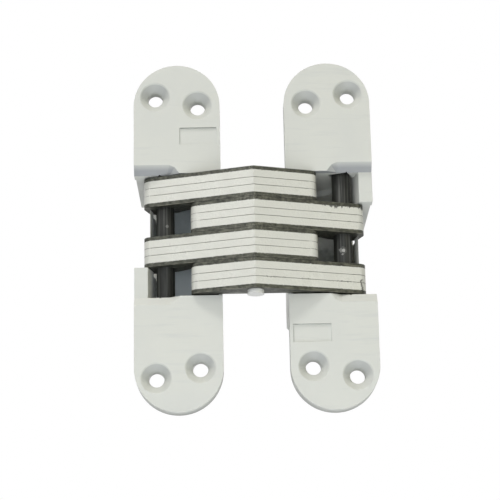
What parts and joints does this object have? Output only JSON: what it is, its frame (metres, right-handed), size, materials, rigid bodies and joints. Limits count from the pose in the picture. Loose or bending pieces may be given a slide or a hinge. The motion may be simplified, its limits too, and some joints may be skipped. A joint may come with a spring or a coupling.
{
  "type": "concealed hinge",
  "caption": "Concealed door hinge with round-ended countersunk leaves joined by crossing laminated links that fold into a pocket in each leaf.",
  "frame": {"origin": "middle of the open hinge's box, on the plane between the leaves", "axes": "+X from the left leaf to the right leaf, +Y into the mortise, +Z along the pins"},
  "size_m": [0.0786, 0.0462, 0.1174],
  "materials": {
    "leaf_paint": "satin pale grey enamel",
    "link_paint": "satin pale enamel on the front edges, bare steel behind",
    "link_plate": "dark, scuffed",
    "pin_steel": "dark drawn steel"
  },
  "bodies": {
    "left_leaf": {"leaf_left": "leaf_paint", "pivot_pin_left": "pin_steel"},
    "links_b": {"link_2_top_plate": "link_plate", "link_2_laminations": "link_paint", "link_2_bottom_plate": "link_plate", "link_4_top_plate": "link_plate", "link_4_laminations": "link_paint", "link_4_bottom_plate": "link_plate", "slider_pin_right": "pin_steel"},
    "links_a": {"link_1_top_plate": "link_plate", "link_1_laminations": "link_paint", "link_1_bottom_plate": "link_plate", "link_3_top_plate": "link_plate", "link_3_laminations": "link_paint", "link_3_bottom_plate": "link_plate", "slider_pin_left": "pin_steel", "centre_pin": "pin_steel"},
    "right_leaf": {"leaf_right": "leaf_paint", "pivot_pin_right": "pin_steel"}
  },
  "joints": [
    {"name": "left_pivot", "type": "hinge", "parent": "left_leaf", "child": "links_b", "pos_m": [-0.0143, -0.00093, 0], "axis": [0, 0, -1], "range_deg": [0, 86.05]},
    {"name": "centre_pivot", "type": "hinge", "parent": "links_b", "child": "links_a", "pos_m": [0, -0.01883, 0], "axis": [0, 0, -1], "range_deg": [0, 7.96]},
    {"name": "right_pivot", "type": "hinge", "parent": "links_a", "child": "right_leaf", "pos_m": [0.0143, -0.00093, 0], "axis": [0, 0, -1], "range_deg": [0, 86.05]}
  ],
  "couplings": [
    {"joint": "centre_pivot", "follows": "left_pivot", "ratio": 0.091882},
    {"joint": "right_pivot", "follows": "left_pivot", "ratio": 1}
  ]
}
